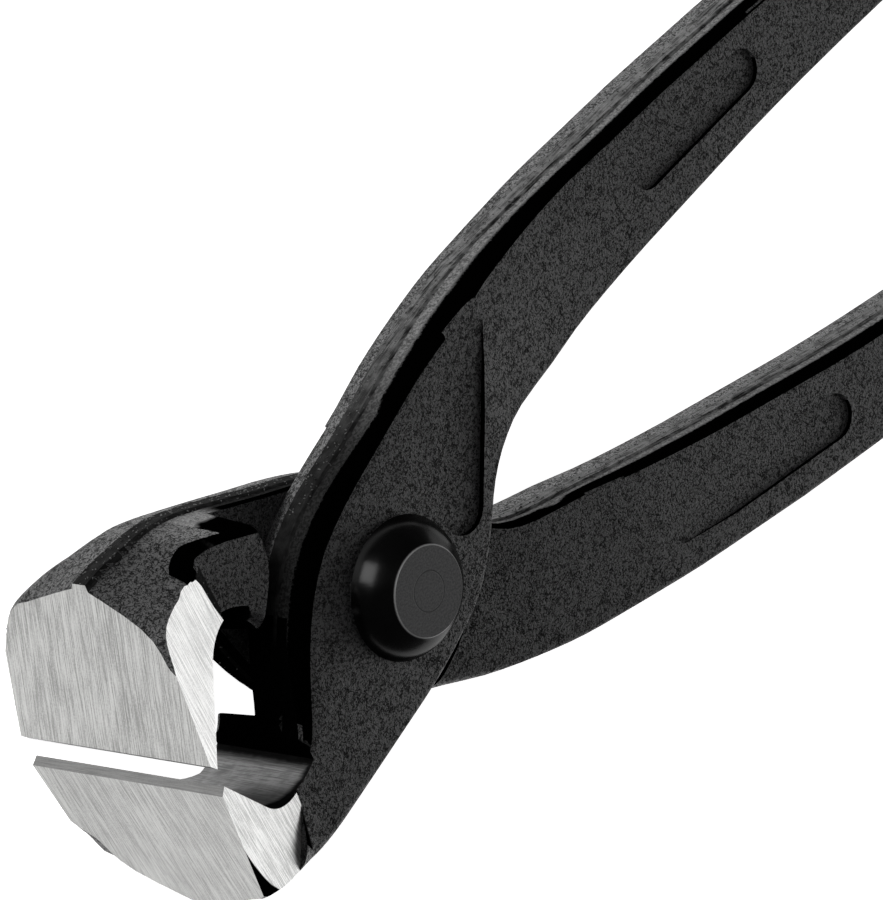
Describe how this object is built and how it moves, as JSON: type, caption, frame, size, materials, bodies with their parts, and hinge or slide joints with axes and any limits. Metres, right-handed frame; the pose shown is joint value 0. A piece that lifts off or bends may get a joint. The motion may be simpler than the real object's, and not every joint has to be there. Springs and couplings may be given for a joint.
{
  "type": "rebar tying nippers",
  "caption": "Forged end cutting nippers for twisting and cutting tying wire, with ground jaws, a riveted lap joint and long bare handles.",
  "frame": {"origin": "centre of the tool's box in plan, at the level of the lowest corner of the jaws, with the tool lying on its side in the pose of the picture", "axes": "+X from the cutting edges to the handle ends, +Y to the side of the upper leaf half's handle, +Z along the joint's axis away from the surface the tool lies on"},
  "size_m": [0.28, 0.0614, 0.0264],
  "materials": {
    "forged_steel_upper": "black phosphated forging skin, jaws ground bright",
    "forged_steel_lower": "black phosphated forging skin, jaws ground bright",
    "rivet_steel": "black, turned"
  },
  "bodies": {
    "upper_leaf_body": {"upper_leaf_half": "forged_steel_upper", "joint_rivet": "rivet_steel"},
    "lower_leaf_body": {"lower_leaf_half": "forged_steel_lower"}
  },
  "joints": [
    {"name": "rivet_joint", "type": "hinge", "parent": "upper_leaf_body", "child": "lower_leaf_body", "pos_m": [-0.107, 0, 0.0132], "axis": [0, 0, -1], "range_deg": [-2.8, 36]}
  ]
}
